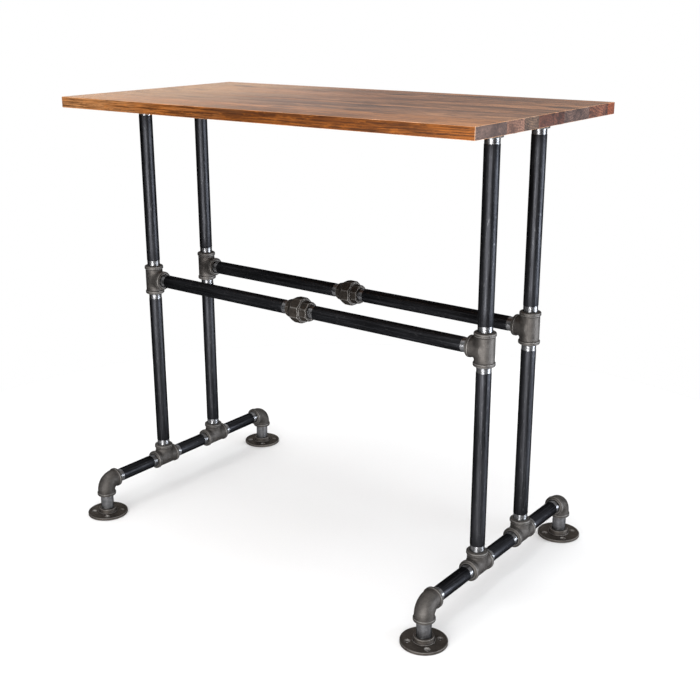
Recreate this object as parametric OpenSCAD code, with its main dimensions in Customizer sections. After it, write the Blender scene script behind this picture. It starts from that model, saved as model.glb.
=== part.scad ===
// Standing desk: black iron pipe frame, malleable iron fittings and an edge-glued wood top.
// Millimetres. X is the width, Y the depth with the front at -Y, Z up from the floor.

/* [Overall] */
// Width over the outer edges of the foot flanges
frame_w = 1092.2; // [900:0.1:1500]
// Depth over the outer edges of the foot flanges
frame_d = 711.2; // [560:0.1:900]
// Height from the floor to the top of the wood
overall_h = 1066.8; // [760:0.1:1200]
// Height of the rail axis above the floor
rail_h = 590; // [450:0.1:700]
// Distance between the front and back upright axes
upright_gap = 194; // [160:1:260]

/* [Wood top] */
// Width of the wood
top_w = 1143; // [1000:1:1600]
// Thickness of the wood
top_t = 25.4; // [19:0.1:45]
// Width of each board, front to back
board_w = [114, 67, 57, 108, 113, 90, 35.2];

/* [Pipe] */
// Outside diameter of the pipe
pipe_od = 33.4; // [33.4:0.1:33.4]
// Wall thickness of the pipe
pipe_wall = 3.38; // [2.8:0.01:4.5]
// Length of the bare thread cut on each pipe end
thread_len = 27; // [20:0.5:28]
// Length of thread screwed into a fitting
engage = 14.5; // [12:0.5:15]

/* [Fittings] */
// Distance from a tee or elbow centre to its faces
fit_centre = 38.1; // [36:0.1:42]
// Outside diameter of a fitting's body
fit_od = 44; // [41:0.5:45]
// Outside diameter of the bead at a fitting's mouth
bead_od = 48; // [46:0.5:50]
// Length of the bead at a fitting's mouth
bead_len = 9; // [7:0.5:12]
// Bend radius of the elbow's axis
elbow_bend = 24; // [23:0.5:26]
// Overall length of a pipe union
union_len = 66; // [64:1:70]
// Width across the flats of the union nut
nut_flats = 58; // [56:1:64]

/* [Floor flange] */
// Diameter of the flange disc
flange_od = 101.6; // [95:0.1:110]
// Thickness of the flange disc
flange_t = 6.5; // [5:0.5:9]
// Overall height of the flange
flange_h = 17; // [16:0.5:28]
// Diameter of the circle of screw holes
flange_pcd = 71.4; // [66:0.1:76]
// Diameter of a screw hole
flange_hole = 7.5; // [6:0.5:8]
// Height from the floor to the axis of the base pipes
base_h = 89.6; // [80:0.1:100]

/* [Hidden] */
$fn = 96;
SIDES = ["left", "right"];
ENDS = ["front", "back"];
SPANS = ["front", "middle", "back"];
BOARDS = [for (i = [1 : len(board_w)]) i];

// Fits. A thread is a plain cylinder this much smaller than its socket.
fit_gap = 0.05;
socket_r = 16.25;
socket_depth = 19;
thread_r = socket_r - fit_gap;
pipe_r = pipe_od / 2;
pipe_bore_r = pipe_r - pipe_wall;
waterway_r = 13.3;
edge = 1.5;          // chamfer on cast edges
over = 1;            // how far a cutting solid runs past a face

// Places of the uprights, feet and heights
foot_x = (frame_w - flange_od) / 2;
foot_y = (frame_d - flange_od) / 2;
upright_y = upright_gap / 2;
wood_z = overall_h - top_t;
seat_back = fit_centre - engage;   // from a fitting's centre to the end of the pipe in it

// Lengths of the pipes, all worked out from the overall sizes
lower_len = rail_h - base_h - 2 * seat_back;
upper_len = wood_z - (flange_h - engage) - rail_h - seat_back;
rail_len = foot_x - seat_back - (union_len / 2 - engage);
base_end_len = foot_y - upright_y - 2 * seat_back;
base_mid_len = upright_gap - 2 * seat_back;
nipple_low = flange_h - engage;
nipple_len = base_h - seat_back - nipple_low;

// Union, measured along its axis from its middle
nut_left = -20;
nut_taper = 13;
nut_right = 14;
shoulder_left = -6;
shoulder_right = -1;
head_face = 0;
seat_depth = 2;
thread_end = 17;
collar_flats = 42;
nut_bore_r = 25.25;
nut_lip_r = 22.6;
shoulder_r = 24.6;
tail_r = 20;
seat_in_r = 15;
seat_out_r = 21;

// Wood screws
screw_r = 3;
screw_head_r = 6.3;
screw_len = 25;
screw_head_len = 3.3;
screw_point = 5;
screw_pilot = 20;
csk_r = 6.6;

pipe_col = [0.13, 0.14, 0.15];
thread_col = [0.62, 0.62, 0.63];
iron_col = [0.27, 0.26, 0.25];
brass_col = [0.72, 0.58, 0.28];
zinc_col = [0.7, 0.7, 0.66];
wood_cols = [[0.55, 0.33, 0.16], [0.5, 0.31, 0.19], [0.46, 0.3, 0.2]];

function side_sign(side) = side == "left" ? -1 : 1;
function end_sign(end) = end == "front" ? -1 : 1;
function board_start(i) = i == 0 ? 0 : board_w[i - 1] + board_start(i - 1);
top_d = board_start(len(board_w));

// ---- shared shapes ----

// A pipe along +Z from the origin, with a bare thread on each end
module pipe(length, bare = thread_len) {
    difference() {
        union() {
            if (length > 2 * bare)
                color(pipe_col)
                    translate([0, 0, bare])
                        cylinder(r = pipe_r, h = length - 2 * bare);
            color(thread_col)
                rotate_extrude()
                    polygon([[0, 0], [thread_r - 1, 0], [thread_r, 1],
                             [thread_r, length - 1], [thread_r - 1, length], [0, length]]);
        }
        translate([0, 0, -over])
            cylinder(r = pipe_bore_r, h = length + 2 * over);
    }
}

// The outside of one arm of a fitting: body and bead, along +Z from the centre
module arm_outside() {
    bead_r = bead_od / 2;
    body_r = fit_od / 2;
    bead_start = fit_centre - bead_len;
    rotate_extrude()
        polygon([[0, 0], [body_r, 0], [body_r, bead_start - edge], [bead_r, bead_start],
                 [bead_r, fit_centre - edge], [bead_r - edge, fit_centre], [0, fit_centre]]);
}

// The hole in one arm of a fitting: waterway, then the threaded socket with a lead-in at its mouth
module arm_hole() {
    cylinder(r = waterway_r, h = fit_centre);
    translate([0, 0, fit_centre - socket_depth])
        cylinder(r = socket_r, h = socket_depth + over);
    translate([0, 0, fit_centre - edge])
        cylinder(r1 = socket_r, r2 = socket_r + edge + over, h = edge + over);
}

// A tee with its run along Z and its branch along +X
module tee() {
    color(iron_col)
        difference() {
            union() {
                arm_outside();
                mirror([0, 0, 1]) arm_outside();
                rotate([0, 90, 0]) arm_outside();
            }
            arm_hole();
            mirror([0, 0, 1]) arm_hole();
            rotate([0, 90, 0]) arm_hole();
        }
}

// The straight end of an elbow, from the end of its bend to its face
module elbow_arm(outside) {
    if (outside)
        intersection() {
            arm_outside();
            translate([-bead_od, -bead_od, elbow_bend])
                cube([2 * bead_od, 2 * bead_od, fit_centre]);
        }
    else
        intersection() {
            arm_hole();
            translate([-bead_od, -bead_od, fit_centre - socket_depth])
                cube([2 * bead_od, 2 * bead_od, fit_centre]);
        }
}

// A quarter bend of radius r that joins the arms along +X and -Z
module quarter_bend(r) {
    translate([elbow_bend, 0, -elbow_bend])
        rotate([90, 0, 0])
            rotate([0, 0, 90])
                rotate_extrude(angle = 90)
                    translate([elbow_bend, 0])
                        circle(r = r);
}

// An elbow with one arm along +X and one along -Z
module elbow() {
    color(iron_col)
        difference() {
            union() {
                quarter_bend(fit_od / 2);
                rotate([0, 90, 0]) elbow_arm(true);
                mirror([0, 0, 1]) elbow_arm(true);
            }
            quarter_bend(waterway_r);
            rotate([0, 90, 0]) elbow_arm(false);
            mirror([0, 0, 1]) elbow_arm(false);
        }
}

// Places of the four holes in a floor flange
module at_flange_holes() {
    for (a = [45 : 90 : 315])
        rotate([0, 0, a])
            translate([flange_pcd / 2, 0, 0])
                children();
}

// A floor flange standing on Z = 0, with its hub up
module floor_flange() {
    disc_r = flange_od / 2;
    hub_r = fit_od / 2;
    foot_r = hub_r + 1.8;
    rim = 2.5;
    color(iron_col)
        difference() {
            rotate_extrude()
                polygon([[0, 0], [disc_r - 0.8, 0], [disc_r, 0.8], [disc_r, flange_t - edge],
                         [disc_r - edge, flange_t], [disc_r - rim - edge, flange_t],
                         [disc_r - rim - edge - 0.6, flange_t - 0.6],
                         [foot_r + 1, flange_t - 0.6], [foot_r, flange_t + 0.6],
                         [hub_r, flange_h - edge],
                         [hub_r - edge, flange_h], [0, flange_h]]);
            translate([0, 0, -over])
                cylinder(r = socket_r, h = flange_h + 2 * over);
            translate([0, 0, flange_h - edge])
                cylinder(r1 = socket_r, r2 = socket_r + edge + over, h = edge + over);
            at_flange_holes() {
                translate([0, 0, -over])
                    cylinder(d = flange_hole, h = flange_t + 2 * over);
                translate([0, 0, flange_t - 0.6 - (csk_r - flange_hole / 2)])
                    cylinder(r1 = flange_hole / 2, r2 = csk_r + over,
                             h = csk_r - flange_hole / 2 + over);
            }
        }
}

// ---- the wood top ----

module pilot_holes() {
    for (s = SIDES) for (e = ENDS)
        translate([side_sign(s) * foot_x, end_sign(e) * upright_y, wood_z - over])
            at_flange_holes()
                cylinder(r = screw_r + fit_gap, h = screw_pilot + over);
}

module plank(i) {
    color(wood_cols[i % len(wood_cols)])
        difference() {
            translate([-top_w / 2, board_start(i - 1) - top_d / 2, wood_z])
                cube([top_w, board_w[i - 1], top_t]);
            pilot_holes();
        }
}

// A countersunk wood screw along +Z with the top of its head at Z = 0
module wood_screw() {
    slot_w = 1.6;
    slot_l = 6;
    slot_h = 2.2;
    difference() {
        rotate_extrude()
            polygon([[0, 0], [screw_head_r, 0], [screw_r, screw_head_len],
                     [screw_r, screw_len - screw_point], [0.4, screw_len], [0, screw_len]]);
        for (a = [0, 90])
            rotate([0, 0, a])
                translate([-slot_l / 2, -slot_w / 2, -over])
                    cube([slot_l, slot_w, slot_h + over]);
    }
}

module wood_screws() {
    color(zinc_col)
        for (s = SIDES) for (e = ENDS)
            translate([side_sign(s) * foot_x, end_sign(e) * upright_y,
                       wood_z - flange_t + 0.6 + 0.2])
                at_flange_holes()
                    wood_screw();
}

module top_flange(side, end) {
    translate([side_sign(side) * foot_x, end_sign(end) * upright_y, wood_z])
        mirror([0, 0, 1])
            floor_flange();
}

// ---- uprights and rails ----

module upper_pipe(side, end) {
    translate([side_sign(side) * foot_x, end_sign(end) * upright_y, rail_h + seat_back])
        pipe(upper_len);
}

module lower_pipe(side, end) {
    translate([side_sign(side) * foot_x, end_sign(end) * upright_y, base_h + seat_back])
        pipe(lower_len);
}

module rail_tee(side, end) {
    turn = side == "left" ? 0 : 180;
    translate([side_sign(side) * foot_x, end_sign(end) * upright_y, rail_h])
        rotate([0, 0, turn])
            tee();
}

module rail_pipe(side, end) {
    turn = side == "left" ? 0 : 180;
    translate([side_sign(side) * (foot_x - seat_back), end_sign(end) * upright_y, rail_h])
        rotate([0, 0, turn])
            rotate([0, 90, 0])
                pipe(rail_len);
}

// ---- unions ----

// Places a union drawn along +Z at the middle of a rail, with +Z turned to +X
module at_union(end) {
    translate([0, end_sign(end) * upright_y, rail_h])
        rotate([0, 90, 0])
            children();
}

// An eight-sided bar with bevelled corners, from z0 to z1
module octagon_bar(flats, z0, z1) {
    corner_r = flats / 2 / cos(22.5);
    bevel = 2;
    wide = corner_r + over;
    intersection() {
        translate([0, 0, z0])
            rotate([0, 0, 22.5])
                cylinder(r = corner_r, h = z1 - z0, $fn = 8);
        rotate_extrude()
            polygon([[0, z0 - over], [corner_r - bevel - over, z0 - over], [wide, z0 + bevel + over],
                     [wide, z1 - bevel - over], [corner_r - bevel - over, z1 + over], [0, z1 + over]]);
    }
}

module union_tail(end) {
    left = -union_len / 2;
    color(iron_col)
        at_union(end)
            difference() {
                union() {
                    octagon_bar(collar_flats - 2, left, nut_left - 1);
                    translate([0, 0, nut_left - 2])
                        cylinder(r = tail_r, h = 2 - nut_left + shoulder_right);
                    translate([0, 0, shoulder_left])
                        cylinder(r = shoulder_r, h = shoulder_right - shoulder_left);
                }
                translate([0, 0, left - over])
                    cylinder(r = socket_r, h = socket_depth + over);
                translate([0, 0, left])
                    cylinder(r = waterway_r, h = union_len);
            }
}

module union_nut(end) {
    corner_r = nut_flats / 2 / cos(22.5);
    taper_end = nut_left + nut_taper;
    taper_r = nut_lip_r + 1.4;
    slope = (corner_r - taper_r) / nut_taper * over;
    color(iron_col)
        at_union(end)
            difference() {
                intersection() {
                    octagon_bar(nut_flats, nut_left, nut_right);
                    rotate_extrude()
                        polygon([[0, nut_left - over], [taper_r - slope, nut_left - over],
                                 [corner_r + slope, taper_end + over],
                                 [corner_r + slope, nut_right + over], [0, nut_right + over]]);
                }
                translate([0, 0, nut_left - over])
                    cylinder(r = nut_lip_r, h = nut_right - nut_left);
                translate([0, 0, shoulder_left - 0.3])
                    cylinder(r = nut_bore_r, h = nut_right - shoulder_left + over);
            }
}

module union_head(end) {
    color(iron_col)
        at_union(end)
            difference() {
                union() {
                    translate([0, 0, head_face])
                        cylinder(r = nut_bore_r - fit_gap, h = thread_end - head_face);
                    octagon_bar(collar_flats + 2, thread_end - 1, union_len / 2);
                }
                translate([0, 0, head_face - over])
                    cylinder(r = seat_out_r + fit_gap, h = seat_depth + over);
                translate([0, 0, head_face])
                    cylinder(r = waterway_r, h = union_len);
                translate([0, 0, union_len / 2 - socket_depth])
                    cylinder(r = socket_r, h = socket_depth + over);
            }
}

module union_seat(end) {
    color(brass_col)
        at_union(end)
            translate([0, 0, shoulder_right])
                difference() {
                    cylinder(r = seat_out_r, h = head_face + seat_depth - shoulder_right);
                    translate([0, 0, -over])
                        cylinder(r = seat_in_r, h = union_len / 2);
                }
}

// ---- base ----

module base_tee(side, end) {
    translate([side_sign(side) * foot_x, end_sign(end) * upright_y, base_h])
        rotate([0, -90, 90])
            tee();
}

module base_pipe(side, span) {
    start = span == "front" ? seat_back - foot_y
          : span == "middle" ? seat_back - upright_y
          : seat_back + upright_y;
    length = span == "middle" ? base_mid_len : base_end_len;
    translate([side_sign(side) * foot_x, start, base_h])
        rotate([-90, 0, 0])
            pipe(length);
}

module foot_elbow(side, end) {
    turn = end == "front" ? 90 : -90;
    translate([side_sign(side) * foot_x, end_sign(end) * foot_y, base_h])
        rotate([0, 0, turn])
            elbow();
}

module foot_nipple(side, end) {
    translate([side_sign(side) * foot_x, end_sign(end) * foot_y, nipple_low])
        pipe(nipple_len, bare = nipple_len / 2);
}

module foot_flange(side, end) {
    translate([side_sign(side) * foot_x, end_sign(end) * foot_y, 0])
        floor_flange();
}

// ---- nodes ----

for (i = BOARDS)
    plank(i);
wood_screws();
for (s = SIDES) for (e = ENDS) {
    top_flange(s, e);
    upper_pipe(s, e);
    rail_tee(s, e);
    rail_pipe(s, e);
    lower_pipe(s, e);
    base_tee(s, e);
    foot_elbow(s, e);
    foot_nipple(s, e);
    foot_flange(s, e);
}
for (e = ENDS) {
    union_tail(e);
    union_nut(e);
    union_head(e);
    union_seat(e);
}
for (s = SIDES) for (e = SPANS)
    base_pipe(s, e);
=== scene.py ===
import math

import bmesh
import bpy
import numpy as np
from mathutils import Matrix, Vector


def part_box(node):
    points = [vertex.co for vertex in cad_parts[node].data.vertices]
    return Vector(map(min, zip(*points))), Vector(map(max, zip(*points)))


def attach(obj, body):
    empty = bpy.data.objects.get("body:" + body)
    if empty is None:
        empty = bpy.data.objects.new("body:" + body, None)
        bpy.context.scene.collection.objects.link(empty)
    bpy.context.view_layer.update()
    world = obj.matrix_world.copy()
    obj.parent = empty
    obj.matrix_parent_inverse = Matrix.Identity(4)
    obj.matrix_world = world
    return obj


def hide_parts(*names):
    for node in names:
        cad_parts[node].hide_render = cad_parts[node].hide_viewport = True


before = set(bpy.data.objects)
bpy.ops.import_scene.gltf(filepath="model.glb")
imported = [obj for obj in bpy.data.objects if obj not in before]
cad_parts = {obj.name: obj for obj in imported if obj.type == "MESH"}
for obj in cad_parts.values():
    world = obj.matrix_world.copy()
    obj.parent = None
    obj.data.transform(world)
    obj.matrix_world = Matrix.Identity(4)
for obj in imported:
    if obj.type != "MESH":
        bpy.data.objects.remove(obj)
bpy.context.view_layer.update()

MM = 0.001
SIDES = ("left", "right")
ENDS = ("front", "back")
SPANS = ("front", "middle", "back")

# ---- sizes that the frame gives ----

RAIL_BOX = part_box("rail_pipe_left_front")
PIPE_R = (RAIL_BOX[1].y - RAIL_BOX[0].y) / 2
TEE_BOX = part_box("rail_tee_left_front")
BEAD_R = (TEE_BOX[1].y - TEE_BOX[0].y) / 2
FACE = (TEE_BOX[1].z - TEE_BOX[0].z) / 2
NIPPLE_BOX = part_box("foot_nipple_left_front")
NIPPLE_LEN = NIPPLE_BOX[1].z - NIPPLE_BOX[0].z
THREAD_R = (NIPPLE_BOX[1].x - NIPPLE_BOX[0].x) / 2
FLANGE_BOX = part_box("foot_flange_left_front")
DISC_R = (FLANGE_BOX[1].x - FLANGE_BOX[0].x) / 2
FLANGE_H = FLANGE_BOX[1].z

# ---- sizes of the fine shapes, in metres ----

BODY_R = BEAD_R - 2 * MM
SOCKET_R = THREAD_R + 0.05 * MM
WATERWAY_R = 13.3 * MM
BORE_R = PIPE_R - 3.38 * MM
THREAD_LEN = 27 * MM
SOCKET_DEPTH = 19 * MM
PITCH = 25.4 * MM / 11.5
GROOVE = 0.22 * MM
ELBOW_BEND = 24 * MM
FILLET = 4.5 * MM
EASED = 1.0 * MM
JOINT_EDGE = 0.5 * MM
JOINT_GAP = 0.06 * MM
BEAD_LEN = 9 * MM
MOUTH_LEN = 10.4 * MM
OUTSIDE_R = SOCKET_R + 1.3 * MM
WATERWAY_EASE = 0.5 * MM
CHAMFER = 1.2 * MM
THREAD_START = 1.5 * MM
FINE_STEP = 1.1 * MM
TUBE_STEP = 40 * MM
FLANGE_STEP = 1.6 * MM
FLANGE_DISC_H = 6.5 * MM
BOLT_CIRCLE_R = 71.4 / 2 * MM
BOLT_HOLE_R = 3.75 * MM
COUNTERSINK_R = 6.6 * MM
UNION_HALF = 33 * MM
TAIL_FLATS, NUT_FLATS, HEAD_FLATS = 40 * MM, 58 * MM, 44 * MM
CORNER_BREAK = 0.35 * MM
ROUND_COUNT, FINE_COUNT, FITTING_COUNT, DRILL_COUNT = 72, 96, 64, 40

# ---- colours of the wood ----

# One row for each board: the tree's centre (y, z), the light and dark tone of the faces, and those of the ends.
BOARDS = (
    ((-0.300, 1.170), ((0.42, 0.175, 0.060), (0.100, 0.036, 0.012)), ((0.112, 0.070, 0.056), (0.022, 0.012, 0.011))),
    ((-0.160, 0.930), ((0.36, 0.170, 0.078), (0.080, 0.032, 0.014)), ((0.190, 0.098, 0.066), (0.062, 0.028, 0.020))),
    ((-0.070, 1.130), ((0.24, 0.112, 0.056), (0.050, 0.021, 0.011)), ((0.125, 0.076, 0.050), (0.010, 0.006, 0.007))),
    ((-0.020, 0.950), ((0.34, 0.155, 0.070), (0.070, 0.028, 0.012)), ((0.130, 0.046, 0.028), (0.028, 0.010, 0.007))),
    ((0.080, 1.150), ((0.38, 0.175, 0.080), (0.090, 0.035, 0.015)), ((0.104, 0.060, 0.046), (0.018, 0.010, 0.010))),
    ((0.180, 0.920), ((0.28, 0.128, 0.062), (0.060, 0.025, 0.012)), ((0.200, 0.072, 0.038), (0.014, 0.006, 0.006))),
    ((0.330, 1.100), ((0.38, 0.170, 0.074), (0.095, 0.037, 0.015)), ((0.220, 0.056, 0.022), (0.060, 0.016, 0.007))),
)

# A long side's darker tone against its faces' (painted shade), the paler wood at the left end with a painted sheen,
# and the pale eased edges, partly wear and partly a painted highlight.
SIDE_SHADE_TONE = (0.58, 0.42, 0.15)
PALE_END_SHEEN = {"face": (0.52, 0.30, 0.155), "side": (0.40, 0.19, 0.075)}
WORN_HIGHLIT_EDGE = (0.5, 0.33, 0.22)
BOARD_SHIFT = 3.7
RINGS_PER_METRE = 190
RING_WANDER = 0.07
RING_JITTER = 1.3
DEEP = 0.35

# A board's materials: top and bottom, sawn ends, long sides, and the pale line of its eased edges, partly wear and
# partly a painted highlight.
WOOD_KINDS = ("face", "end", "side", "worn_highlit")

# ---- stage, light and camera ----

FLOOR_R = 1.5
SKY_LIGHT = 1.3
SKY_STOPS = ((0.0, 0.02), (0.12, 0.05), (0.45, 0.6), (0.8, 1.0))
WHITE, COOL = (1, 1, 1), (0.86, 0.92, 1)

# Each light: name, azimuth, elevation, distance, size, power, what it points at, colour. Key and side stand beyond
# the floor and half below it, so that they light the pipes from low down.
LIGHTS = (
    ("key", 20, 0, 5.0, (2.7, 1.8), 570, (0, 0, 0), WHITE),
    ("side", 112, 0, 5.0, (2.3, 1.8), 500, (0, 0, 0), COOL),
    ("sheen", 236, 7, 5.0, (3.4, 1.0), 17, (0, 0, 1.1), WHITE),
    ("top", 0, 80, 3.0, (3.0, 3.0), 70, (0, 0, 0.55), WHITE),
)

VIEW_AZIMUTH, VIEW_ELEVATION, VIEW_ROLL = 38.48, 17.19, -0.44
VIEW_DISTANCE = 2.645
VIEW_TARGET = (0, 0, 0.5)
VIEW_SHIFT = (0.0336, -0.019)
SENSOR = 36
FOCAL = 1087 / 700


# ---- mesh making ----

def rings_to_mesh(name, strips, close=True):
    """Joins strips of rings into one closed mesh. A strip is a list of rings with the same count of points."""
    bm = bmesh.new()
    for rings in strips:
        made = [[bm.verts.new(p) for p in ring] for ring in rings]
        pairs = list(zip(made, made[1:]))
        if close:
            pairs.append((made[-1], made[0]))
        for low, high in pairs:
            count = len(low)
            for j in range(count):
                k = (j + 1) % count
                bm.faces.new((low[j], low[k], high[k], high[j]))
    bmesh.ops.remove_doubles(bm, verts=bm.verts, dist=1e-6)
    bmesh.ops.recalc_face_normals(bm, faces=bm.faces)
    mesh = bpy.data.meshes.new(name)
    bm.to_mesh(mesh)
    bm.free()
    return mesh


def add_curvature(mesh):
    """Stores how far each point sticks out (up to 1) or lies in a hollow (down to -1). Cast iron paints wear with
    highlight on the first and shade on the second.
    """
    count = len(mesh.vertices)
    spots = np.array([v.co for v in mesh.vertices])
    normals = np.array([v.normal for v in mesh.vertices])
    ends = np.array([e.vertices for e in mesh.edges])
    total, links = np.zeros(count), np.zeros(count)
    for a, b in (ends.T, ends.T[::-1]):
        away = spots[b] - spots[a]
        away /= np.maximum(np.linalg.norm(away, axis=1), 1e-9)[:, None]
        np.add.at(total, a, -(away * normals[a]).sum(1))
        np.add.at(links, a, 1)
    out = total / np.maximum(links, 1)
    for _ in range(2):
        near = np.zeros(count)
        for a, b in (ends.T, ends.T[::-1]):
            np.add.at(near, a, out[b])
        out = 0.5 * out + 0.5 * near / np.maximum(links, 1)
    layer = mesh.attributes.new("curvature", "FLOAT", "POINT")
    layer.data.foreach_set("value", np.clip(out * 5, -1, 1))


def smooth(mesh, angle=40):
    """Smooth shading, with edges sharper than the angle kept crisp."""
    add_curvature(mesh)
    mesh.shade_smooth()
    mesh.set_sharp_from_angle(angle=math.radians(angle))
    return mesh


def arc(centre, radius, start, end, steps):
    """Points (r, z) along an arc in a profile, angles in degrees from +r towards +z."""
    turn = [math.radians(start + (end - start) * i / steps) for i in range(steps + 1)]
    return [(centre[0] + radius * math.cos(a), centre[1] + radius * math.sin(a)) for a in turn]


def dense(profile, step):
    """The same outline with long stretches split, so that the curvature marks (painted wear, highlight and shade)
    stay near its edges.
    """
    points = []
    for (r0, z0), (r1, z1) in zip(profile, profile[1:]):
        parts = max(1, math.ceil(math.hypot(r1 - r0, z1 - z0) / step))
        points += [(r0 + (r1 - r0) * i / parts, z0 + (z1 - z0) * i / parts) for i in range(parts)]
    return points + [profile[-1]]


def ring(radius, z, count, shape=None):
    """One ring of points around +Z. shape(radius, angle, z) may change the radius."""
    points = []
    for j in range(count):
        a = 2 * math.pi * j / count
        r = shape(radius, a, z) if shape else radius
        points.append((r * math.cos(a), r * math.sin(a), z))
    return points


def lathe(name, profile, count=ROUND_COUNT, shape=None, angle=40):
    """A closed shell turned around +Z from a closed outline of (r, z) points."""
    return smooth(rings_to_mesh(name, [[ring(r, z, count, shape) for r, z in profile]]), angle)


def place(mesh, name, matrix, body, material, replaces=None):
    """An object of a shared mesh at its place in the frame, riding on a body."""
    piece = bpy.data.objects.new(name, mesh)
    bpy.context.scene.collection.objects.link(piece)
    piece.matrix_world = matrix
    if material.name not in mesh.materials:
        mesh.materials.append(material)
    piece["seed"] = float(sum(ord(c) * (i + 1) for i, c in enumerate(name)) % 97)
    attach(piece, body)
    if replaces:
        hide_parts(replaces)
    return piece


def frame_matrix(origin, x_axis, z_axis):
    """A matrix that turns local +X and +Z to the given directions."""
    x, z = Vector(x_axis).normalized(), Vector(z_axis).normalized()
    y = z.cross(x)
    turn = Matrix((x, y, z)).transposed().to_4x4()
    return Matrix.Translation(Vector(origin)) @ turn


# ---- procedural materials ----

class Nodes:
    """A small helper that adds shader nodes and links them."""

    def __init__(self, name):
        self.material = bpy.data.materials.new(name)
        self.material.use_nodes = True
        self.tree = self.material.node_tree
        self.tree.nodes.clear()
        self.output = self.tree.nodes.new("ShaderNodeOutputMaterial")
        self.shader = self.tree.nodes.new("ShaderNodeBsdfPrincipled")
        self.tree.links.new(self.shader.outputs[0], self.output.inputs[0])

    def link(self, value, socket):
        if isinstance(value, bpy.types.NodeSocket):
            self.tree.links.new(value, socket)
        elif value is not None:
            socket.default_value = value

    def local(self):
        return self.tree.nodes.new("ShaderNodeTexCoord").outputs["Object"]

    def seed(self):
        node = self.tree.nodes.new("ShaderNodeAttribute")
        node.attribute_type = "OBJECT"
        node.attribute_name = "seed"
        return node.outputs["Fac"]

    def curvature(self):
        node = self.tree.nodes.new("ShaderNodeAttribute")
        node.attribute_type = "GEOMETRY"
        node.attribute_name = "curvature"
        return node.outputs["Fac"]

    def math(self, operation, a, b=None, c=None):
        node = self.tree.nodes.new("ShaderNodeMath")
        node.operation = operation
        for value, socket in zip((a, b, c), node.inputs):
            self.link(value, socket)
        return node.outputs[0]

    def vector(self, operation, a, b=None, scale=None):
        node = self.tree.nodes.new("ShaderNodeVectorMath")
        node.operation = operation
        self.link(a, node.inputs[0])
        self.link(b, node.inputs[1])
        if scale is not None:
            self.link(scale, node.inputs["Scale"])
        return node.outputs["Value"] if operation == "LENGTH" else node.outputs[0]

    def stretch(self, vector, scale, offset=(0, 0, 0)):
        node = self.tree.nodes.new("ShaderNodeMapping")
        self.link(vector, node.inputs["Vector"])
        node.inputs["Scale"].default_value = scale
        node.inputs["Location"].default_value = offset
        return node.outputs[0]

    def split(self, vector):
        node = self.tree.nodes.new("ShaderNodeSeparateXYZ")
        self.link(vector, node.inputs[0])
        return node.outputs

    def join(self, x, y, z):
        node = self.tree.nodes.new("ShaderNodeCombineXYZ")
        for value, socket in zip((x, y, z), node.inputs):
            self.link(value, socket)
        return node.outputs[0]

    def noise(self, vector, scale, detail=3.0, rough=0.5, seed=None):
        node = self.tree.nodes.new("ShaderNodeTexNoise")
        node.noise_dimensions = "4D" if seed is not None else "3D"
        self.link(vector, node.inputs["Vector"])
        node.inputs["Scale"].default_value = scale
        node.inputs["Detail"].default_value = detail
        node.inputs["Roughness"].default_value = rough
        if seed is not None:
            self.link(seed, node.inputs["W"])
        return node.outputs["Fac"]

    def noise_vector(self, vector, stretch):
        """A smooth random offset, as a colour."""
        node = self.tree.nodes.new("ShaderNodeTexNoise")
        self.link(self.stretch(vector, stretch), node.inputs["Vector"])
        node.inputs["Scale"].default_value = 1.0
        node.inputs["Detail"].default_value = 3.0
        return node.outputs["Color"]

    def knots(self, vector):
        node = self.tree.nodes.new("ShaderNodeTexVoronoi")
        self.link(vector, node.inputs["Vector"])
        node.inputs["Scale"].default_value = 1.0
        return node.outputs["Distance"]

    def ramp(self, factor, stops, ease="LINEAR"):
        node = self.tree.nodes.new("ShaderNodeValToRGB")
        self.link(factor, node.inputs[0])
        node.color_ramp.interpolation = ease
        while len(node.color_ramp.elements) < len(stops):
            node.color_ramp.elements.new(0.5)
        for element, (place_at, colour) in zip(node.color_ramp.elements, stops):
            element.position = place_at
            level = isinstance(colour, (int, float))
            element.color = (colour, colour, colour, 1) if level else (*colour, 1)
        return node.outputs[0]

    def mix(self, factor, a, b):
        node = self.tree.nodes.new("ShaderNodeMix")
        node.data_type = "RGBA"
        self.link(factor, node.inputs[0])
        self.link(a if isinstance(a, bpy.types.NodeSocket) else (*a, 1), node.inputs[6])
        self.link(b if isinstance(b, bpy.types.NodeSocket) else (*b, 1), node.inputs[7])
        return node.outputs[2]

    def bump(self, height, strength, distance):
        node = self.tree.nodes.new("ShaderNodeBump")
        node.inputs["Strength"].default_value = strength
        node.inputs["Distance"].default_value = distance
        self.link(height, node.inputs["Height"])
        return node.outputs[0]

    def finish(self, colour, roughness, normal=None, metallic=0.0, **uniform):
        self.link(colour, self.shader.inputs["Base Color"])
        self.link(roughness, self.shader.inputs["Roughness"])
        self.shader.inputs["Metallic"].default_value = metallic
        if normal is not None:
            self.link(normal, self.shader.inputs["Normal"])
        for key, value in uniform.items():
            self.shader.inputs[key.replace("_", " ")].default_value = value
        return self.material


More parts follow.
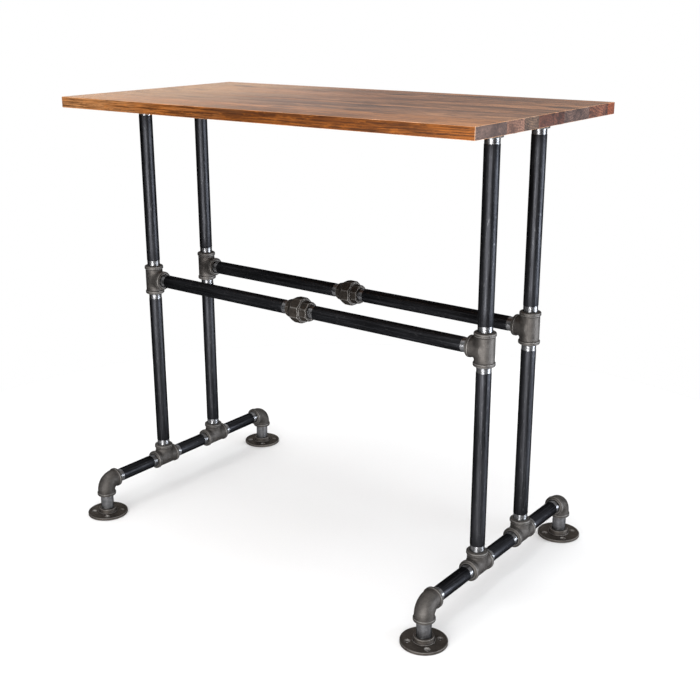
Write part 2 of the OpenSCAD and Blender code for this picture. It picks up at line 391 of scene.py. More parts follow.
def pipe_lacquer():
    """Black lacquered pipe: fine drawing lines along it, faint blotches and rubbed patches."""
    n = Nodes("pipe_lacquer")
    p, seed = n.local(), n.seed()
    blotch = n.noise(n.stretch(p, (1, 1, 0.2)), 26, 4, 0.6, seed)
    lines = n.noise(n.stretch(p, (1, 1, 0.015)), 600, 4, 0.65, seed)
    scuff = n.noise(n.stretch(p, (1, 1, 0.35)), 240, 4, 0.7, seed)
    grain = n.noise(p, 1500, 2, 0.5, seed)
    colour = n.ramp(blotch, [(0.3, (0.007, 0.0071, 0.0080)), (0.7, (0.019, 0.0193, 0.0215))])
    colour = n.mix(n.ramp(lines, [(0.5, 0.0), (0.72, 0.6)]), colour, (0.06, 0.061, 0.067))
    colour = n.mix(n.ramp(scuff, [(0.58, 0.0), (0.74, 0.6)]), colour, (0.09, 0.09, 0.093))
    roughness = n.ramp(n.math("ADD", blotch, n.math("MULTIPLY", lines, 0.35)), [(0.4, 0.38), (0.95, 0.52)])
    height = n.math("ADD", n.math("MULTIPLY", lines, 0.7), n.math("MULTIPLY", grain, 0.3))
    return n.finish(colour, roughness, n.bump(height, 0.3, 0.0005), metallic=0.95,
                    Specular_Tint=(0.1, 0.1, 0.11, 1))


def cast_iron(name="cast_iron", dark=1.0, warm=1.0):
    """Sand-cast malleable iron: grainy skin, painted shade in hollows, and pale edges, partly rubbed wear and partly
    painted highlight.

    dark scales its tone, and warm moves it from blue towards red."""
    n = Nodes(name)
    p, seed = n.local(), n.seed()
    sand = n.noise(p, 800, 4, 0.7, seed)
    coarse = n.noise(p, 150, 4, 0.6, seed)
    cloud = n.noise(p, 34, 3, 0.5, seed)
    low = tuple(v * dark for v in (0.040 * warm, 0.0365, 0.034 / warm))
    high = tuple(v * dark for v in (0.094 * warm, 0.087, 0.081 / warm))
    colour = n.ramp(cloud, [(0.3, low), (0.7, high)])
    colour = n.mix(n.ramp(sand, [(0.38, 0.65), (0.58, 0.0)]), colour, (0.03, 0.027, 0.025))
    colour = n.mix(n.ramp(coarse, [(0.36, 0.55), (0.56, 0.0)]), colour, low)
    edge = n.curvature()
    patchy = n.ramp(coarse, [(0.35, 0.5), (0.6, 1.0)])
    # Pale convex edges: partly rubbed wear, partly a painted highlight.
    wear_and_highlight = n.math("MULTIPLY", n.ramp(edge, [(0.2, 0.0), (0.7, 0.85)]), patchy)
    colour = n.mix(wear_and_highlight, colour, (0.30, 0.288, 0.275))
    # Painted shade: hollows and creases are darkened by their curvature.
    crease_shade = n.ramp(n.math("MULTIPLY", edge, -1.0), [(0.1, 0.0), (0.6, 0.9)])
    colour = n.mix(crease_shade, colour, (0.03, 0.026, 0.024))
    roughness = n.ramp(coarse, [(0.3, 0.48), (0.7, 0.68)])
    height = n.math("ADD", n.math("MULTIPLY", sand, 0.5), n.math("MULTIPLY", coarse, 0.5))
    return n.finish(colour, roughness, n.bump(height, 0.75, 0.0011), metallic=0.9,
                    Specular_Tint=(0.25, 0.25, 0.25, 1))


def bare_steel():
    """Bright turned steel: fine lines around the axis and a slight oily tone."""
    n = Nodes("bare_steel")
    p, seed = n.local(), n.seed()
    turned = n.noise(n.stretch(p, (0.05, 0.05, 1)), 2600, 2, 0.5, seed)
    stain = n.noise(p, 90, 4, 0.6, seed)
    colour = n.ramp(stain, [(0.3, (0.08, 0.08, 0.083)), (0.7, (0.19, 0.19, 0.196))])
    roughness = n.ramp(turned, [(0.3, 0.24), (0.7, 0.38)])
    return n.finish(colour, roughness, n.bump(turned, 0.15, 0.0002), metallic=1.0,
                    Specular_Tint=(0.15, 0.15, 0.155, 1))


def zinc_plate():
    """Zinc-plated screws: pale, with slight yellow and blue clouding."""
    n = Nodes("zinc_plate")
    p = n.local()
    cloud = n.noise(p, 260, 3, 0.5)
    fine = n.noise(p, 1800, 2, 0.5)
    colour = n.ramp(cloud, [(0.3, (0.6, 0.58, 0.5)), (0.7, (0.66, 0.68, 0.7))])
    roughness = n.ramp(fine, [(0.3, 0.25), (0.7, 0.4)])
    return n.finish(colour, roughness, n.bump(fine, 0.1, 0.0002), metallic=1.0)


def turned_brass():
    """Brass union seat."""
    n = Nodes("turned_brass")
    p = n.local()
    turned = n.noise(n.stretch(p, (1, 0.05, 0.05)), 2400, 2, 0.5)
    colour = n.ramp(turned, [(0.3, (0.6, 0.43, 0.16)), (0.7, (0.78, 0.6, 0.3))])
    return n.finish(colour, n.ramp(turned, [(0.3, 0.22), (0.7, 0.35)]), metallic=1.0)


def tone(colour, factor):
    """A lighter or darker version of a colour."""
    return tuple(factor * v for v in colour)


def year_rings(n, p, pith):
    """How far across its year ring a point lies, 0 to 1. The rings lie round a pith that wanders along the board."""
    wander = n.vector("SUBTRACT", n.noise_vector(p, (1.4, 6, 6)), (0.5, 0.5, 0.5))
    bent = n.vector("ADD", p, n.vector("SCALE", wander, scale=RING_WANDER))
    _, y, z = n.split(bent)
    span = n.join(0.0, n.math("SUBTRACT", y, pith[0]), n.math("SUBTRACT", z, pith[1]))
    jitter = n.math("MULTIPLY", n.noise(n.stretch(p, (0.2, 1, 1)), 40, 3, 0.55), RING_JITTER)
    across = n.math("MULTIPLY", n.vector("LENGTH", span), RINGS_PER_METRE)
    return n.math("FRACT", n.math("ADD", across, jitter))


def grown_wood(n, p, pith, kind, light, dark):
    """The colour that all of a board's surfaces share: clouds, year rings, streaks and the paler left end, which is
    partly a painted sheen.
    """
    cloud = n.noise(n.stretch(p, (0.35, 1.6, 1.6)), 9, 5, 0.62)
    streak = n.noise(n.stretch(p, (0.1, 1, 1)), 42, 5, 0.65)
    middle = tuple((a + b) / 2 for a, b in zip(light, dark))
    colour = n.ramp(cloud, [(0.34, dark), (0.5, middle), (0.66, light)])
    late = n.ramp(year_rings(n, p, pith), [(0.0, 1.0), (0.14, 0.0), (0.7, 0.0), (0.96, 1.0)], "EASE")
    colour = n.mix(n.math("MULTIPLY", late, 0.72), colour, dark)
    colour = n.mix(n.ramp(streak, [(0.53, 0.0), (0.7, 0.8)]), colour, tone(dark, DEEP))
    colour = n.mix(n.ramp(streak, [(0.3, 0.5), (0.44, 0.0)]), colour, tone(light, 1.35))
    if kind in PALE_END_SHEEN:
        # Paler wood towards the left end, partly a painted sheen.
        patch = n.math("MULTIPLY", n.math("SUBTRACT", cloud, 0.5), 0.9)
        along = n.math("ADD", n.split(n.local())[0], patch)
        pale = n.ramp(n.math("MULTIPLY_ADD", along, -1.0, 0.1), [(0.1, 0.0), (0.65, 0.7)], "EASE")
        colour = n.mix(pale, colour, PALE_END_SHEEN[kind])
    return colour


def end_grain(n, p, colour, light, deep):
    """Sawn end grain: the colour, height and roughness of fine mottling."""
    mottle = n.noise(n.stretch(p, (1, 1, 0.6)), 380, 4, 0.7)
    colour = n.mix(n.ramp(mottle, [(0.4, 0.6), (0.54, 0.0)]), colour, deep)
    colour = n.mix(n.ramp(mottle, [(0.56, 0.0), (0.7, 0.5)]), colour, tone(light, 1.5))
    return colour, mottle, n.ramp(mottle, [(0.3, 0.55), (0.7, 0.75)])


def long_grain(n, p, colour, light, dark, deep):
    """Grain along the board: the colour, height and roughness of fibres, flecks and pores."""
    fibre = n.noise(n.stretch(p, (0.02, 1, 1)), 620, 4, 0.65)
    pores = n.noise(n.stretch(p, (0.015, 1, 1)), 1700, 2, 0.5)
    fleck = n.noise(n.stretch(p, (0.28, 1, 1)), 95, 4, 0.7)
    colour = n.mix(n.ramp(fibre, [(0.4, 0.55), (0.58, 0.0)]), colour, dark)
    colour = n.mix(n.ramp(fleck, [(0.56, 0.0), (0.7, 0.7)]), colour, deep)
    colour = n.mix(n.ramp(fleck, [(0.32, 0.32), (0.44, 0.0)]), colour, tone(light, 1.25))
    colour = n.mix(n.ramp(pores, [(0.32, 0.8), (0.45, 0.0)]), colour, deep)
    height = n.math("ADD", n.math("MULTIPLY", fibre, 0.5), n.math("MULTIPLY", pores, 0.5))
    return colour, height, n.ramp(fibre, [(0.3, 0.46), (0.7, 0.64)])


def wood_look(index, pith, kind, light, dark):
    """One material of one board. light and dark are its two tones."""
    n = Nodes(f"wood_{index}_{kind}")
    p = n.stretch(n.local(), (1, 1, 1), (index * BOARD_SHIFT, 0, 0))
    deep = tone(dark, DEEP)
    colour = grown_wood(n, p, pith, kind, light, dark)
    if kind == "side":
        coarse = n.noise(n.stretch(p, (0.03, 1, 1)), 250, 4, 0.7)
        colour = n.mix(n.ramp(coarse, [(0.42, 0.8), (0.52, 0.0)]), colour, deep)
    if kind == "end":
        colour, height, roughness = end_grain(n, p, colour, light, deep)
    else:
        colour, height, roughness = long_grain(n, p, colour, light, dark, deep)
    knots = n.knots(n.stretch(p, (3.5, 10, 10)))
    colour = n.mix(n.ramp(knots, [(0.1, 0.92), (0.2, 0.0)]), colour, deep)
    gloss = 0.45 if kind == "face" else 0.15
    return n.finish(colour, roughness, n.bump(height, 0.4, 0.0006), Specular_IOR_Level=gloss)


def wood(index, pith, colours, end_colours):
    """One board's materials, in the order of WOOD_KINDS."""
    # The long sides take a darker copy of the face colours: painted shade.
    shaded_side_colours = [tuple(v * t for v, t in zip(colour, SIDE_SHADE_TONE)) for colour in colours]
    # The eased edges take a pale colour: partly wear, partly a painted highlight.
    tones = (colours, end_colours, shaded_side_colours, (WORN_HIGHLIT_EDGE, colours[0]))
    return [wood_look(index, pith, kind, *pair) for kind, pair in zip(WOOD_KINDS, tones)]


def pale_floor():
    """A pale matt floor with a very fine tone."""
    n = Nodes("pale_floor")
    colour = n.ramp(n.noise(n.local(), 160, 2, 0.5), [(0.3, 0.795), (0.7, 0.805)])
    return n.finish(colour, 0.75, Specular_IOR_Level=0.2)


# ---- fittings ----

def mouth_profile(face):
    """The outline of a fitting's mouth: bead outside, face, lead-in and threaded socket, as (r, t)."""
    start = face - BEAD_LEN
    bead_end = face - 4.2 * MM
    outline = [(BODY_R, start - 1.4 * MM), (BODY_R + 0.5 * MM, start - 0.9 * MM)]
    outline += [(BEAD_R - 0.55 * MM, start), (BEAD_R - 0.12 * MM, start + 0.35 * MM)]
    outline += [(BEAD_R, start + 0.9 * MM), (BEAD_R, bead_end)]
    outline += arc((BEAD_R - 3 * MM, bead_end), 3 * MM, 15, 75, 5)
    outline += [(BEAD_R - 3.4 * MM, face - 0.75 * MM), (BEAD_R - 4 * MM, face - 0.3 * MM)]
    outline += [(BEAD_R - 4.6 * MM, face), (SOCKET_R + CHAMFER, face)]
    outline += [(SOCKET_R, face - CHAMFER), (SOCKET_R, face - SOCKET_DEPTH)]
    outline += [(WATERWAY_R, face - SOCKET_DEPTH - WATERWAY_EASE)]
    return dense(outline, FINE_STEP)


def body_distance(p):
    """Distance to the tee's body: a run along Z and a branch along +X, with a round fillet between them."""
    run = np.hypot(p[:, 0], p[:, 1]) - BODY_R
    branch = np.maximum(np.hypot(p[:, 1], p[:, 2]) - BODY_R, -p[:, 0])
    near = np.hypot(np.maximum(FILLET - run, 0), np.maximum(FILLET - branch, 0))
    return np.maximum(FILLET, np.minimum(run, branch)) - near


def settle(points):
    """Moves points along the gradient until they lie on the filleted body."""
    p = np.array(points, float)
    step = 1e-5
    for _ in range(14):
        d = body_distance(p)
        grad = np.stack([(body_distance(p + step * e) - d) / step for e in np.eye(3)], 1)
        length = np.maximum(np.linalg.norm(grad, axis=1), 0.3)
        p -= grad * (d / length ** 2)[:, None] * 0.8
    return [tuple(q) for q in p]


def tee_arm(point, blocked):
    """Rings of one arm: the filleted body, the mouth, then the waterway back to the middle.

    point(r, angle, t) gives a place. blocked(angle) is how far out the arm starts, as a share of its radius."""
    body_rows, bore_rows = 14, 4
    body_end = FACE - MOUTH_LEN
    bore_end = FACE - SOCKET_DEPTH - WATERWAY_EASE
    angles = [2 * math.pi * j / FITTING_COUNT for j in range(FITTING_COUNT)]
    rings = []
    for i in range(body_rows):
        s = i / body_rows
        rings.append(settle([point(BODY_R, a, blocked(a) * BODY_R * (1 - s) + body_end * s) for a in angles]))
    for r, t in mouth_profile(FACE):
        rings.append([point(r, a, t) for a in angles])
    for i in range(1, bore_rows + 1):
        s = 1 - i / bore_rows
        rings.append([point(WATERWAY_R, a, blocked(a) * WATERWAY_R * (1 - s) + bore_end * s) for a in angles])
    return rings


def tee_mesh():
    """A tee with its run along Z and its branch along +X."""
    def up(r, a, t):
        return (r * math.cos(a), r * math.sin(a), t)

    def down(r, a, t):
        return (r * math.cos(a), r * math.sin(a), -t)

    def out(r, a, t):
        return (t, r * math.sin(a), r * math.cos(a))

    def run_start(a):
        return max(0.0, math.cos(a))

    def branch_start(a):
        return abs(math.cos(a))

    strips = [tee_arm(up, run_start), tee_arm(down, run_start), tee_arm(out, branch_start)]
    return smooth(rings_to_mesh("tee", strips, close=False), 50)


def elbow_ring(r, s):
    """A ring across the elbow's path at distance s from the middle of its bend. The arms run to +X and -Z."""
    half = ELBOW_BEND * math.pi / 4
    turn = max(-half, min(half, s)) / ELBOW_BEND + math.pi / 4
    beyond = s - max(-half, min(half, s))
    centre = Vector((ELBOW_BEND, 0, -ELBOW_BEND))
    outward = Vector((-math.sin(turn), 0, math.cos(turn)))
    along = Vector((-math.cos(turn), 0, -math.sin(turn)))
    middle = centre + outward * ELBOW_BEND + along * beyond
    side = Vector((0, 1, 0))
    angles = [2 * math.pi * j / FITTING_COUNT for j in range(FITTING_COUNT)]
    return [tuple(middle + (outward * math.cos(a) + side * math.sin(a)) * r) for a in angles]


def elbow_mesh():
    """An elbow with one arm along +X and one along -Z."""
    half = ELBOW_BEND * math.pi / 4
    reach = FACE - ELBOW_BEND + half
    mouth = [(r, reach - (FACE - t)) for r, t in mouth_profile(FACE)]
    bend = 20
    first = mouth[0][1]
    outer = [(BODY_R, -first + 2 * first * i / bend) for i in range(1, bend)]
    deep = mouth[-1][1]
    inner = [(WATERWAY_R, deep - 2 * deep * i / bend) for i in range(1, bend)]
    back = [(r, -s) for r, s in reversed(mouth)]
    outline = outer + mouth + inner + back
    return smooth(rings_to_mesh("elbow", [[elbow_ring(r, s) for r, s in outline]]), 50)


def drill_mesh(top_z):
    """A drill with a countersink, for cutting a flange whose disc ends at top_z."""
    tip_r, below, above = 0.0001, -0.01, 0.03
    depth = COUNTERSINK_R - BOLT_HOLE_R
    profile = [(tip_r, below), (BOLT_HOLE_R, below), (BOLT_HOLE_R, top_z - depth), (COUNTERSINK_R, top_z)]
    profile += [(COUNTERSINK_R + 0.4 * MM, top_z + 0.15 * MM), (COUNTERSINK_R + 0.6 * MM, above), (tip_r, above)]
    return lathe("drill", profile, DRILL_COUNT)


def cut_holes(mesh, hole_mesh, places):
    """A copy of the mesh with a hole at each place."""
    base = bpy.data.objects.new("to_cut", mesh)
    bpy.context.scene.collection.objects.link(base)
    tools = []
    for spot in places:
        tool = bpy.data.objects.new("drill", hole_mesh)
        tool.location = spot
        bpy.context.scene.collection.objects.link(tool)
        tools.append(tool)
        cut = base.modifiers.new("hole", "BOOLEAN")
        cut.operation = "DIFFERENCE"
        cut.solver = "EXACT"
        cut.object = tool
    bpy.context.view_layer.update()
    result = bpy.data.meshes.new_from_object(base.evaluated_get(bpy.context.evaluated_depsgraph_get()))
    for gone in tools + [base]:
        bpy.data.objects.remove(gone)
    return result


def flange_mesh():
    """A floor flange on Z = 0, hub up: raised rim, countersunk holes, ridge around the hub's foot."""
    thick = FLANGE_DISC_H
    low = thick - 0.6 * MM
    hub = BODY_R
    rim_in = DISC_R - 3 * MM
    profile = [(SOCKET_R, 0.0), (DISC_R - 0.8 * MM, 0.0), (DISC_R - 0.2 * MM, 0.25 * MM), (DISC_R, 0.8 * MM)]
    profile += [(DISC_R, thick - 1.6 * MM)]
    profile += arc((DISC_R - 1.2 * MM, thick - 1.2 * MM), 1.2 * MM, 10, 90, 5)
    profile += [(rim_in, thick), (rim_in - 0.4 * MM, thick - 0.12 * MM), (rim_in - 0.8 * MM, low)]
    profile += [(rim_in - 4 * MM, low), (hub + 6.4 * MM, low)]
    profile += [(hub + 3.4 * MM, low), (hub + 3.0 * MM, low + 0.3 * MM)]
    profile += arc((hub + 2.2 * MM, low + 0.9 * MM), 0.8 * MM, 10, 110, 5)
    profile += [(hub + 1.2 * MM, low + 1.6 * MM), (hub + 0.5 * MM, low + 2.6 * MM)]
    profile += [(hub + 0.15 * MM, low + 4 * MM), (hub, FLANGE_H - 2 * MM)]
    profile += arc((hub - 1.5 * MM, FLANGE_H - 1.5 * MM), 1.5 * MM, 10, 90, 5)
    profile += [(SOCKET_R + CHAMFER, FLANGE_H), (SOCKET_R, FLANGE_H - CHAMFER)]
    disc = lathe("flange_blank", dense(profile, FLANGE_STEP), FINE_COUNT)
    turns = [math.pi / 4 + k * math.pi / 2 for k in range(4)]
    spots = [Vector((BOLT_CIRCLE_R * math.cos(a), BOLT_CIRCLE_R * math.sin(a), 0)) for a in turns]
    mesh = cut_holes(disc, drill_mesh(low), spots)
    mesh.name = "flange"
    return smooth(mesh, 35)


# ---- pipes ----

def thread_shape(radius, angle, z):
    """The radius of a right-hand thread with a rounded groove, on the outside only."""
    if radius < BORE_R + 0.5 * MM:
        return radius
    phase = (z / PITCH - angle / (2 * math.pi)) % 1.0
    depth = 0.5 - 0.5 * math.cos(2 * math.pi * phase)
    return radius - GROOVE * depth ** 1.5


def pipe_mouth():
    """The outline of a pipe's bored and chamfered end, from z = 0."""
    return [(BORE_R, 0.0), (THREAD_R - 1.3 * MM, 0.0), (THREAD_R - 0.5 * MM, 0.8 * MM)]


def thread_mesh():
    """The bright end of a pipe, along +Z: z = 0 is the pipe's end, and the thread shows beyond the fitting."""
    rows = 78
    profile = pipe_mouth()
    profile += [(THREAD_R, THREAD_START + (THREAD_LEN - THREAD_START) * i / rows) for i in range(rows + 1)]
    profile += [(BORE_R, THREAD_LEN)]
    return lathe("thread", profile, FITTING_COUNT, thread_shape, 60)


def tube_mesh(length):
    """The black part of a pipe between its threads, along +Z from z = 0."""
    e = 0.5 * MM
    profile = [(BORE_R, 0.0), (THREAD_R - 0.1 * MM, 0.0), (PIPE_R - 0.15 * MM, e), (PIPE_R, 2 * e)]
    steps = max(2, round(length / TUBE_STEP))
    profile += [(PIPE_R, 2 * e + (length - 4 * e) * i / steps) for i in range(1, steps)]
    profile += [(PIPE_R, length - 2 * e), (PIPE_R - 0.15 * MM, length - e), (THREAD_R - 0.1 * MM, length)]
    profile += [(BORE_R, length)]
    return lathe("tube", profile)


def pipe(node, axis, body, thread, looks):
    """Replaces one CAD pipe by a black tube and its two bright threads. axis is 0, 1 or 2."""
    low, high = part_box(node)
    length = high[axis] - low[axis]
    start = (low + high) / 2
    start[axis] = low[axis]
    along = Vector([1.0 if i == axis else 0.0 for i in range(3)])
    across = Vector([1.0 if i == (axis + 1) % 3 else 0.0 for i in range(3)])
    tube = tube_mesh(length - 2 * THREAD_LEN)
    place(tube, node + "_tube", frame_matrix(start + along * THREAD_LEN, across, along), body,
          looks["pipe"], node)
    end = start + along * length
    place(thread, node + "_thread_low", frame_matrix(start, across, along), body, looks["bare"])
    place(thread, node + "_thread_high", frame_matrix(end, across, -along), body, looks["bare"])


def nipple_shape(radius, angle, z):
    """Threads near both ends of the nipple, running out into a smooth turned middle."""
    from_end = min(z, NIPPLE_LEN - z)
    fade = max(0.0, min(1.0, (17.5 * MM - from_end) / (3 * MM)))
    return radius - (radius - thread_shape(radius, angle, z)) * fade


def nipple_mesh():
    """A foot nipple along +Z from z = 0."""
    rows = 170
    profile = pipe_mouth()
    profile += [(THREAD_R, THREAD_START + (NIPPLE_LEN - 2 * THREAD_START) * i / rows) for i in range(rows + 1)]
    profile += [(r, NIPPLE_LEN - z) for r, z in reversed(pipe_mouth())]
    return lathe("nipple", profile, FITTING_COUNT, nipple_shape, 60)


# ---- unions ----

def octagon(flats, applies):
    """A lathe shape that holds the profile inside an eight-sided bar, wherever applies(radius, z) is true."""
    half = math.pi / 8
    corner = flats / 2 / math.cos(half) - CORNER_BREAK

    def shape(radius, angle, z):
        if not applies(radius, z):
            return radius
        off = (angle + half) % (2 * half) - half
        return min(radius, flats / 2 / math.cos(off), corner)
    return shape


def union_tail_mesh():
    """The tail of a union along +Z, from the union's middle at z = 0: collar, neck and shoulder."""
    def collar(radius, z):
        return z < -21.5 * MM and radius > OUTSIDE_R

    wide, neck, shoulder, left = 24 * MM, 20 * MM, 24.6 * MM, -UNION_HALF
    profile = [(SOCKET_R, left + CHAMFER), (SOCKET_R + CHAMFER, left), (18.3 * MM, left)]
    profile += [(20.2 * MM, left + 0.8 * MM), (21.2 * MM, left + 2.2 * MM), (wide, left + 4 * MM)]
    profile += [(wide, -22.5 * MM), (20.4 * MM, -21.2 * MM), (neck, -20.5 * MM), (neck, -6 * MM)]
    profile += [(shoulder, -6 * MM), (shoulder, -1 * MM), (WATERWAY_R, -1 * MM)]
    profile += [(WATERWAY_R, left + SOCKET_DEPTH), (SOCKET_R, left + SOCKET_DEPTH - WATERWAY_EASE)]
    return lathe("union_tail", dense(profile, FINE_STEP), FINE_COUNT, octagon(TAIL_FLATS, collar), 15)


def union_nut_mesh():
    """The nut of a union along +Z: eight flats, a long taper to the tail and a turned lip."""
    def outside(radius, z):
        return radius > 25.3 * MM

    corner, neck, bore = 31.4 * MM, 22.6 * MM, 25.25 * MM
    profile = [(neck, -20 * MM), (23.6 * MM, -20 * MM), (24.4 * MM, -19.6 * MM), (25.2 * MM, -18.4 * MM)]
    profile += [(29.9 * MM, -9.4 * MM), (corner, -7 * MM), (corner, -6 * MM), (corner, 10.2 * MM)]
    profile += [(30.6 * MM, 12.2 * MM), (28.6 * MM, 13.6 * MM), (27.4 * MM, 14 * MM), (25.9 * MM, 14 * MM)]
    profile += [(bore, 13.3 * MM), (bore, -6.3 * MM), (neck, -6.3 * MM)]
    return lathe("union_nut", dense(profile, FINE_STEP), FINE_COUNT, octagon(NUT_FLATS, outside), 15)


def union_head_mesh():
    """The head of a union along +Z: threaded barrel in the nut and an eight-sided collar."""
    def collar(radius, z):
        return z > 16.9 * MM and radius > OUTSIDE_R

    barrel, wide, seat, right = 25.2 * MM, 26 * MM, 21.05 * MM, UNION_HALF
    profile = [(seat, 0.0), (25 * MM, 0.0), (barrel, 0.3 * MM), (barrel, 14.4 * MM)]
    profile += [(24.2 * MM, 15.4 * MM), (22.4 * MM, 16.2 * MM), (22.4 * MM, 17.2 * MM), (wide, 19 * MM)]
    profile += [(wide, right - 3 * MM), (22.2 * MM, right - 0.9 * MM), (20.6 * MM, right)]
    profile += [(SOCKET_R + CHAMFER, right), (SOCKET_R, right - CHAMFER), (SOCKET_R, right - SOCKET_DEPTH)]
    profile += [(WATERWAY_R, right - SOCKET_DEPTH - WATERWAY_EASE), (WATERWAY_R, 2 * MM), (seat, 2 * MM)]
    return lathe("union_head", dense(profile, FINE_STEP), FINE_COUNT, octagon(HEAD_FLATS, collar), 15)


# ---- wood ----

def board_outline(low, high, radii):
    """The board's cross-section as (y, z) points, with one corner radius for the front and one for the back."""
    points = []
    corners = [(high.y, low.z, radii[1], -90), (high.y, high.z, radii[1], 0),
               (low.y, high.z, radii[0], 90), (low.y, low.z, radii[0], 180)]
    for y, z, r, start in corners:
        inside = (y - math.copysign(r, y - (low.y + high.y) / 2), z - math.copysign(r, z - (low.z + high.z) / 2))
        points += arc(inside, r, start, start + 90, 4)
    return points


def board_rings(outline, low, high, first, last):
    """The cross-sections along the board, drawn in at both ends so that the outer edges are eased there too."""
    turns = [math.radians(a) for a in (0, 22, 45, 68, 90)]
    stations = [(low.x + EASED * (1 - math.cos(a)), EASED * (1 - math.sin(a))) for a in turns]
    stations += [(high.x - EASED * (1 - math.cos(a)), EASED * (1 - math.sin(a))) for a in reversed(turns)]
    middle_z = ((low + high) / 2).z
    rings = []
    for x, inset in stations:
        flat = 1 - inset / ((high.z - low.z) / 2)
        points = []
        for y, z in outline:
            front_in = inset * (high.y - y) / (high.y - low.y) if first else 0
            back_in = inset * (y - low.y) / (high.y - low.y) if last else 0
            points.append((x, y + front_in - back_in, middle_z + (z - middle_z) * flat))
        rings.append(points)
    return rings


def bar_mesh(name, rings):
    """A solid bar through a row of rings, closed at both ends."""
    bm = bmesh.new()
    made = [[bm.verts.new(q) for q in points] for points in rings]
    size = len(rings[0])
    for near, far in zip(made, made[1:]):
        for j in range(size):
            bm.faces.new((near[j], near[(j + 1) % size], far[(j + 1) % size], far[j]))
    bm.faces.new(made[0])
    bm.faces.new(made[-1])
    bmesh.ops.recalc_face_normals(bm, faces=bm.faces)
    mesh = bpy.data.meshes.new(name)
    bm.to_mesh(mesh)
    bm.free()
    return mesh


def board_zone(normal, first, last):
    """Which of WOOD_KINDS a face of a board takes. Its joints to other boards take the end grain's."""
    square_on, nearly_across = 0.97, 0.1
    if abs(normal.x) > square_on:
        return WOOD_KINDS.index("end")
    if abs(normal.y) > square_on:
        return WOOD_KINDS.index("side")
    if abs(normal.z) > square_on:
        return WOOD_KINDS.index("face")
    outer = (first and normal.y < 0) or (last and normal.y > 0)
    at_joint = abs(normal.x) < nearly_across and not outer
    # Eased edge faces take the pale edge colour, which is partly a painted highlight.
    return WOOD_KINDS.index("end" if at_joint else "worn_highlit")


def plank(index, count, materials):
    """One board with eased outer edges and a hairline joint to its neighbours."""
    low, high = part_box(f"plank_{index}")
    first, last = index == 1, index == count
    radii = (EASED if first else JOINT_EDGE, EASED if last else JOINT_EDGE)
    low.y += 0 if first else JOINT_GAP
    high.y -= 0 if last else JOINT_GAP
    rings = board_rings(board_outline(low, high, radii), low, high, first, last)
    mesh = smooth(bar_mesh(f"board_{index}", rings), 12)
    for material in materials:
        mesh.materials.append(material)
    for face in mesh.polygons:
        face.material_index = board_zone(face.normal, first, last)
    place(mesh, f"board_{index}", Matrix.Identity(4), "frame", materials[0], f"plank_{index}")


# ---- the desk ----

def carry_over(node, material):
    """Gives a CAD node that stays its material."""
    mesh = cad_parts[node].data
    mesh.materials.clear()
    mesh.materials.append(material)


def centre(node):
    """The middle of a CAD node's box."""
    low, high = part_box(node)
    return (low + high) / 2


def build_top(looks):
    """The seven boards, and the screws that hold them."""
    count = len([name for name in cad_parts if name.startswith("plank_")])
    materials = [wood(i + 1, *BOARDS[i]) for i in range(count)]
    for i in range(count):
        plank(i + 1, count, materials[i])
    carry_over("wood_screws", looks["zinc"])


def build_corner(side, end, meshes, looks):
    """One upright from its foot to the wood, with its half of a rail. The rows give each piece's place and axes."""
    tag = f"{side}_{end}"
    inward = 1 if side == "left" else -1
    toward = 1 if end == "front" else -1
    for name, axis in (("upper_pipe", 2), ("lower_pipe", 2), ("rail_pipe", 0)):
        pipe(f"{name}_{tag}", axis, "frame", meshes["thread"], looks)
    post, foot = centre(f"upper_pipe_{tag}"), centre(f"foot_flange_{tag}")
    rail_z = centre(f"rail_pipe_{tag}").z
    base_z = centre(f"base_pipe_{side}_front").z
    wood_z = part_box("plank_1")[0].z
    x, up, down = (1, 0, 0), (0, 0, 1), (0, 0, -1)
    rows = (
        ("rail_tee", "tee", "iron", "frame", (post.x, post.y, rail_z), (inward, 0, 0), up),
        ("base_tee", "tee", "iron", "frame", (post.x, post.y, base_z), up, (0, -1, 0)),
        ("elbow", "elbow", "iron", "frame", (foot.x, foot.y, base_z), (0, toward, 0), up),
        ("top_flange", "flange", "flange_iron", "frame", (post.x, post.y, wood_z), x, down),
        ("foot_flange", "flange", "flange_iron", f"foot_{tag}", (foot.x, foot.y, 0), x, up),
        ("foot_nipple", "nipple", "bare", f"nipple_{tag}", (foot.x, foot.y, NIPPLE_BOX[0].z), x, up),
    )
    for name, mesh, look, body, origin, x_axis, z_axis in rows:
        place(meshes[mesh], f"{name}_{tag}_body", frame_matrix(origin, x_axis, z_axis), body,
              looks[look], f"{name}_{tag}")


def build_union(end, meshes, looks):
    """The union in the middle of one rail."""
    rail = centre(f"rail_pipe_left_{end}")
    at = frame_matrix((0, rail.y, rail.z), (0, 0, -1), (1, 0, 0))
    for part in ("union_tail", "union_nut", "union_head"):
        body = f"nut_{end}" if part == "union_nut" else "frame"
        place(meshes[part], f"{part}_{end}_body", at, body, looks["dark_iron"], f"{part}_{end}")


def build_desk():
    """Every piece of the desk."""
    looks = {"pipe": pipe_lacquer(), "iron": cast_iron(), "dark_iron": cast_iron("cast_iron_dark", 0.5, 1.1),
             "flange_iron": cast_iron("cast_iron_flange", 1.05, 1.06), "bare": bare_steel(),
             "zinc": zinc_plate(), "brass": turned_brass()}
    build_top(looks)
    for end in ENDS:
        carry_over(f"union_seat_{end}", looks["brass"])
    meshes = {"thread": thread_mesh(), "tee": tee_mesh(), "elbow": elbow_mesh(), "flange": flange_mesh(),
              "nipple": nipple_mesh(), "union_tail": union_tail_mesh(), "union_nut": union_nut_mesh(),
              "union_head": union_head_mesh()}
    for side in SIDES:
        for span in SPANS:
            pipe(f"base_pipe_{side}_{span}", 1, "frame", meshes["thread"], looks)
        for end in ENDS:
            build_corner(side, end, meshes, looks)
    for end in ENDS:
        build_union(end, meshes, looks)


# ---- stage, light and camera ----

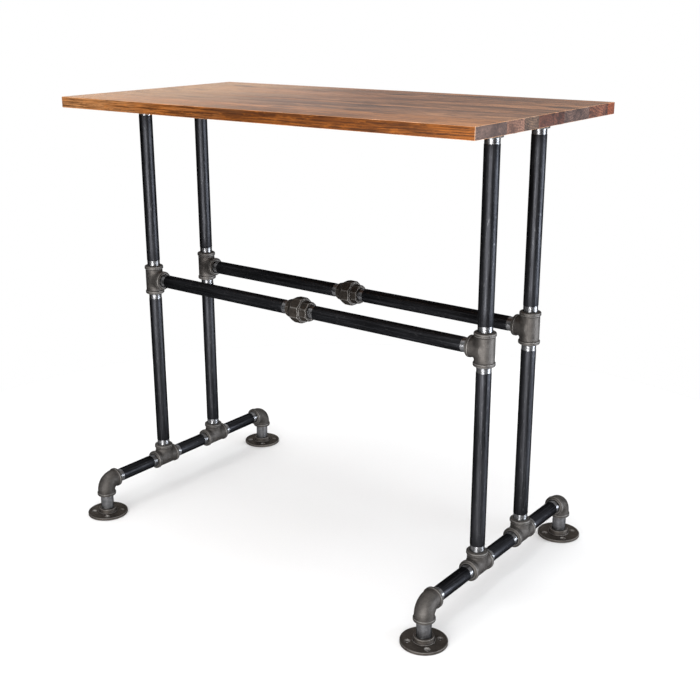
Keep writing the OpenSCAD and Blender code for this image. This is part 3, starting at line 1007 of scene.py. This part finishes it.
def stage():
    """A round pale floor. The camera sees the white world past its edge."""
    bm = bmesh.new()
    bmesh.ops.create_circle(bm, cap_ends=True, segments=FINE_COUNT, radius=FLOOR_R)
    mesh = bpy.data.meshes.new("floor")
    bm.to_mesh(mesh)
    bm.free()
    mesh.materials.append(pale_floor())
    floor = bpy.data.objects.new("floor", mesh)
    bpy.context.scene.collection.objects.link(floor)


def softbox(name, azimuth, elevation, distance, size, power, aim, colour):
    """A soft rectangular light. Azimuth 0 is in front of the desk and 90 is at its right."""
    a, e = math.radians(azimuth), math.radians(elevation)
    light = bpy.data.lights.new(name, "AREA")
    light.shape = "RECTANGLE"
    light.size, light.size_y = size
    light.energy = power
    light.color = colour
    lamp = bpy.data.objects.new(name, light)
    where = Vector((math.sin(a) * math.cos(e), -math.cos(a) * math.cos(e), math.sin(e))) * distance
    lamp.location = Vector(aim) + where
    lamp.visible_camera = False
    lamp.rotation_euler = (-where).to_track_quat("-Z", "Y").to_euler()
    bpy.context.scene.collection.objects.link(lamp)


def studio_world():
    """White where the camera looks past the floor; as light, bright overhead and dark towards the horizon."""
    world = bpy.data.worlds.new("studio")
    bpy.context.scene.world = world
    world.use_nodes = True
    tree = world.node_tree
    tree.nodes.clear()
    new = tree.nodes.new
    output, ray, mixer = new("ShaderNodeOutputWorld"), new("ShaderNodeLightPath"), new("ShaderNodeMixShader")
    seen, lit = new("ShaderNodeBackground"), new("ShaderNodeBackground")
    where, parts, sky = new("ShaderNodeTexCoord"), new("ShaderNodeSeparateXYZ"), new("ShaderNodeValToRGB")
    seen.inputs[0].default_value = (1, 1, 1, 1)
    while len(sky.color_ramp.elements) < len(SKY_STOPS):
        sky.color_ramp.elements.new(0.5)
    for element, (at, level) in zip(sky.color_ramp.elements, SKY_STOPS):
        element.position = at
        element.color = (level, level, level, 1)
    lit.inputs[1].default_value = SKY_LIGHT
    tree.links.new(where.outputs["Generated"], parts.inputs[0])
    tree.links.new(parts.outputs["Z"], sky.inputs[0])
    tree.links.new(sky.outputs[0], lit.inputs[0])
    tree.links.new(ray.outputs["Is Camera Ray"], mixer.inputs[0])
    tree.links.new(lit.outputs[0], mixer.inputs[1])
    tree.links.new(seen.outputs[0], mixer.inputs[2])
    tree.links.new(mixer.outputs[0], output.inputs[0])


def camera():
    """The camera, placed around a target by its azimuth, elevation, distance and roll."""
    a, e, roll = (math.radians(v) for v in (VIEW_AZIMUTH, VIEW_ELEVATION, VIEW_ROLL))
    back = Vector((math.sin(a) * math.cos(e), -math.cos(a) * math.cos(e), math.sin(e)))
    right = Vector((math.cos(a), math.sin(a), 0))
    up = back.cross(right)
    x = right * math.cos(roll) + up * math.sin(roll)
    y = up * math.cos(roll) - right * math.sin(roll)
    data = bpy.data.cameras.new("camera")
    data.sensor_width = SENSOR
    data.lens = SENSOR * FOCAL
    data.shift_x, data.shift_y = VIEW_SHIFT
    data.clip_end = 200
    eye = bpy.data.objects.new("camera", data)
    spot = Vector(VIEW_TARGET) + back * VIEW_DISTANCE
    eye.matrix_world = Matrix.Translation(spot) @ Matrix((x, y, back)).transposed().to_4x4()
    bpy.context.scene.collection.objects.link(eye)
    bpy.context.scene.camera = eye


build_desk()
stage()
studio_world()
for light in LIGHTS:
    softbox(*light)
camera()
bpy.context.scene.view_settings.view_transform = "Standard"
